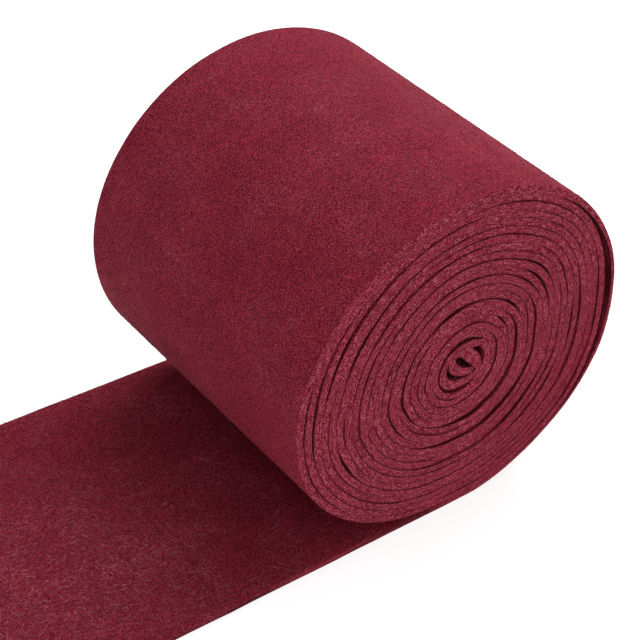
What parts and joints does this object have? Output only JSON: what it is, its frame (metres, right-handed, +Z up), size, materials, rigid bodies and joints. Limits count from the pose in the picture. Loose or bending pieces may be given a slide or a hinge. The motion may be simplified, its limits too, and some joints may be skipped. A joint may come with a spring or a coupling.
{
  "type": "roll of felt",
  "caption": "Strip of thick wine-red felt wound into a coreless roll that rests on its own loose end.",
  "frame": {"origin": "on the underside of the loose end, straight below the roll's middle and half way across the strip's width", "axes": "+X away from the cut end of the loose end, along the strip's length; +Y along the roll, across the strip's width; +Z up"},
  "size_m": [0.2114, 0.1, 0.111],
  "materials": {
    "felt": "matt pressed felt, wine red, with short lighter fibres"
  },
  "bodies": {
    "root": {"wound_roll": "felt", "loose_end": "felt"}
  },
  "joints": []
}
